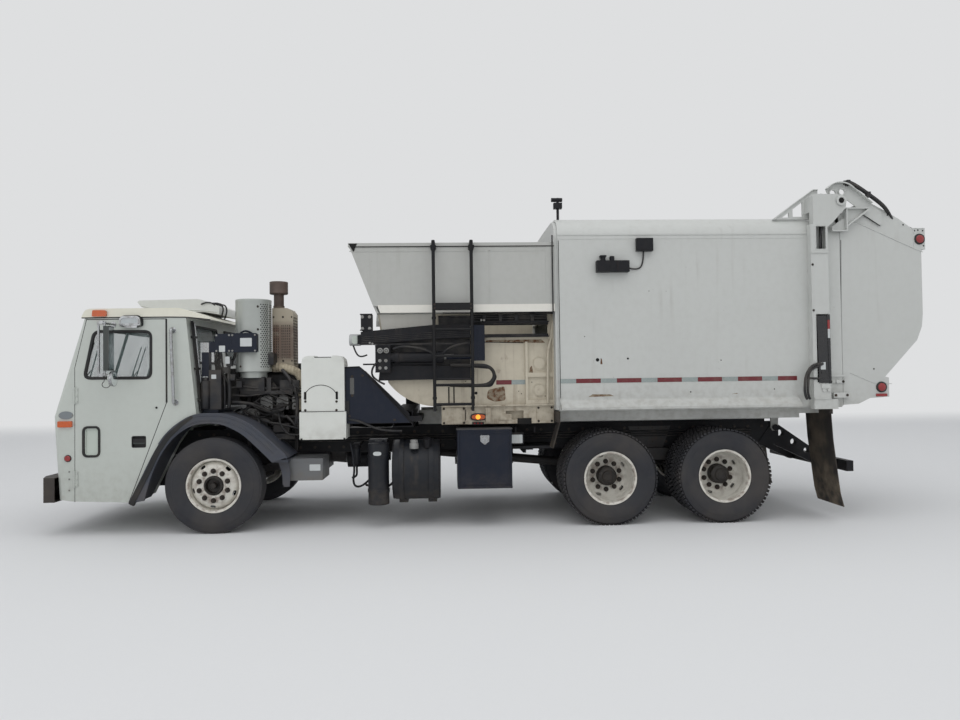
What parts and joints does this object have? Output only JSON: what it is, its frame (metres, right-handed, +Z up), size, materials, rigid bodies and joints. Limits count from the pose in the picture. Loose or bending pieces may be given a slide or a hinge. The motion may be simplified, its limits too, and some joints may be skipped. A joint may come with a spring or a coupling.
{
  "type": "garbage truck",
  "caption": "Three-axle side-loading garbage truck with a low-entry cab, open hopper, curved-side body, hinged tailgate and a lifting arm on its right side.",
  "frame": {"origin": "on the ground under the centre of the vehicle's bounding box", "axes": "+X to the rear, +Y to the vehicle's right side, +Z up"},
  "size_m": [9.862, 2.936, 3.8066],
  "materials": {
    "cab_paint": "weathered gloss paint",
    "body_paint": "weathered paint with dirt streaks",
    "hopper_steel": "worn paint with rust streaks",
    "black_steel": "satin black",
    "navy_paint": "satin",
    "rim_paint": "dull, rusty at the nuts",
    "tyre": "matte",
    "rubber": "matte",
    "glass": "clear",
    "fender_plastic": "matte",
    "white_plastic": "dusty",
    "chrome": "bright",
    "cast": "oily",
    "hot_steel": "heat stained, rusty",
    "cab_trim": "matte",
    "seat_fabric": "woven"
  },
  "bodies": {
    "chassis": {"cab_fittings": "chrome", "cab_glass": "glass", "cab_roof": "cab_paint", "cab_shell": "cab_paint", "chassis_frame": "black_steel", "dashboard": "cab_trim", "electrical_boxes": "black_steel", "engine": "cast", "exhaust_cylinder": "hot_steel", "exhaust_stack": "hot_steel", "fenders": "fender_plastic", "frame_tanks": "black_steel", "front_axle": "cast", "front_bumper": "black_steel", "rear_axles": "cast", "seats": "seat_fabric", "service_cover": "white_plastic", "tool_box": "navy_paint"},
    "knuckle_left": {"knuckle_left": "cast"},
    "knuckle_right": {"knuckle_right": "cast"},
    "tie_rod": {"tie_rod": "cast"},
    "front_wheel_left": {"front_tyre_left": "tyre", "front_rim_left": "rim_paint"},
    "front_wheel_right": {"front_tyre_right": "tyre", "front_rim_right": "rim_paint"},
    "rear_wheels_first_left": {"rear_tyres_first_left": "tyre", "rear_rims_first_left": "rim_paint"},
    "rear_wheels_first_right": {"rear_tyres_first_right": "tyre", "rear_rims_first_right": "rim_paint"},
    "rear_wheels_second_left": {"rear_tyres_second_left": "tyre", "rear_rims_second_left": "rim_paint"},
    "rear_wheels_second_right": {"rear_tyres_second_right": "tyre", "rear_rims_second_right": "rim_paint"},
    "door_left": {"door_left": "cab_paint", "door_glass_left": "glass"},
    "door_right": {"door_right": "cab_paint", "door_glass_right": "glass"},
    "tool_box_door": {"tool_box_door": "navy_paint"},
    "load_body": {"body_shell": "body_paint", "body_floor": "black_steel", "hopper_upper": "hopper_steel", "hopper_lower": "hopper_steel", "packer_drive": "black_steel", "ladder": "black_steel", "tail_posts": "body_paint", "mud_flaps": "rubber"},
    "hoist_barrel": {"hoist_barrel": "black_steel"},
    "hoist_rod": {"hoist_rod": "chrome"},
    "tailgate": {"tailgate": "body_paint", "tailgate_arms": "body_paint"},
    "gate_rods": {"gate_rods": "chrome"},
    "packer": {"packer": "hopper_steel"},
    "arm_mast": {"arm_mast": "black_steel"},
    "arm_carriage": {"arm_carriage": "black_steel"},
    "arm_head": {"arm_head": "black_steel"},
    "finger_front": {"finger_front": "black_steel"},
    "finger_rear": {"finger_rear": "black_steel"}
  },
  "joints": [
    {"name": "steer_left", "type": "hinge", "parent": "chassis", "child": "knuckle_left", "pos_m": [-3.065, -0.93, 0.52], "axis": [0, 0, 1], "range_deg": [-35, 35]},
    {"name": "steer_right", "type": "hinge", "parent": "chassis", "child": "knuckle_right", "pos_m": [-3.065, 0.93, 0.52], "axis": [0, 0, 1], "range_deg": [-35, 35]},
    {"name": "tie_rod_slide", "type": "slide", "parent": "chassis", "child": "tie_rod", "axis": [0, 1, 0], "range_m": [-0.1, 0.1]},
    {"name": "front_left_roll", "type": "hinge", "parent": "knuckle_left", "child": "front_wheel_left", "pos_m": [-3.065, -1.05, 0.52], "axis": [0, 1, 0], "continuous": true},
    {"name": "front_right_roll", "type": "hinge", "parent": "knuckle_right", "child": "front_wheel_right", "pos_m": [-3.065, 1.05, 0.52], "axis": [0, 1, 0], "continuous": true},
    {"name": "rear_first_left_roll", "type": "hinge", "parent": "chassis", "child": "rear_wheels_first_left", "pos_m": [1.298, -0.8875, 0.52], "axis": [0, 1, 0], "continuous": true},
    {"name": "rear_first_right_roll", "type": "hinge", "parent": "chassis", "child": "rear_wheels_first_right", "pos_m": [1.298, 0.8875, 0.52], "axis": [0, 1, 0], "continuous": true},
    {"name": "rear_second_left_roll", "type": "hinge", "parent": "chassis", "child": "rear_wheels_second_left", "pos_m": [2.593, -0.8875, 0.52], "axis": [0, 1, 0], "continuous": true},
    {"name": "rear_second_right_roll", "type": "hinge", "parent": "chassis", "child": "rear_wheels_second_right", "pos_m": [2.593, 0.8875, 0.52], "axis": [0, 1, 0], "continuous": true},
    {"name": "door_left_hinge", "type": "hinge", "parent": "chassis", "child": "door_left", "pos_m": [-4.545, -1.16, 1.4], "axis": [0, 0, -1], "range_deg": [0, 70]},
    {"name": "door_right_hinge", "type": "hinge", "parent": "chassis", "child": "door_right", "pos_m": [-4.545, 1.16, 1.4], "axis": [0, 0, 1], "range_deg": [0, 70]},
    {"name": "tool_box_hinge", "type": "hinge", "parent": "chassis", "child": "tool_box_door", "pos_m": [-0.1035, -1.176, 0.443], "axis": [1, 0, 0], "range_deg": [0, 95]},
    {"name": "body_tip", "type": "hinge", "parent": "chassis", "child": "load_body", "pos_m": [3.485, 0, 1.003], "axis": [0, 1, 0], "range_deg": [0, 40]},
    {"name": "hoist_swing", "type": "hinge", "parent": "chassis", "child": "hoist_barrel", "pos_m": [0.5, 0, 0.79], "axis": [0, -1, 0], "range_deg": [0, 22]},
    {"name": "hoist_extend", "type": "slide", "parent": "hoist_barrel", "child": "hoist_rod", "axis": [0.9762, 0, 0.2169], "range_m": [0, 0.79]},
    {"name": "tailgate_hinge", "type": "hinge", "parent": "load_body", "child": "tailgate", "pos_m": [3.91, 0, 3.584], "axis": [0, -1, 0], "range_deg": [0, 85]},
    {"name": "gate_rod_slide", "type": "slide", "parent": "load_body", "child": "gate_rods", "axis": [0, 0, -1], "range_m": [0, 0.27]},
    {"name": "packer_slide", "type": "slide", "parent": "load_body", "child": "packer", "axis": [1, 0, 0], "range_m": [0, 0.45]},
    {"name": "arm_reach", "type": "slide", "parent": "chassis", "child": "arm_mast", "axis": [0, 1, 0], "range_m": [0, 1.2]},
    {"name": "arm_lift", "type": "slide", "parent": "arm_mast", "child": "arm_carriage", "axis": [0, 0, 1], "range_m": [0, 1.25]},
    {"name": "arm_tilt", "type": "hinge", "parent": "arm_carriage", "child": "arm_head", "pos_m": [-1.015, 1.24, 1.15], "axis": [1, 0, 0], "range_deg": [0, 110]},
    {"name": "finger_front_hinge", "type": "hinge", "parent": "arm_head", "child": "finger_front", "pos_m": [-1.225, 1.3, 0.83], "axis": [0, 0, -1], "range_deg": [0, 95]},
    {"name": "finger_rear_hinge", "type": "hinge", "parent": "arm_head", "child": "finger_rear", "pos_m": [-0.805, 1.3, 0.83], "axis": [0, 0, 1], "range_deg": [0, 95]}
  ],
  "couplings": [
    {"joint": "steer_right", "follows": "steer_left", "ratio": 1},
    {"joint": "tie_rod_slide", "follows": "steer_left", "m_per_rad": 0.15},
    {"joint": "hoist_swing", "follows": "body_tip", "ratio": 0.525},
    {"joint": "hoist_extend", "follows": "body_tip", "m_per_rad": 1.106},
    {"joint": "gate_rod_slide", "follows": "tailgate_hinge", "m_per_rad": 0.18126},
    {"joint": "arm_tilt", "follows": "arm_lift", "rad_per_m": 1.5359},
    {"joint": "finger_rear_hinge", "follows": "finger_front_hinge", "ratio": 1}
  ]
}
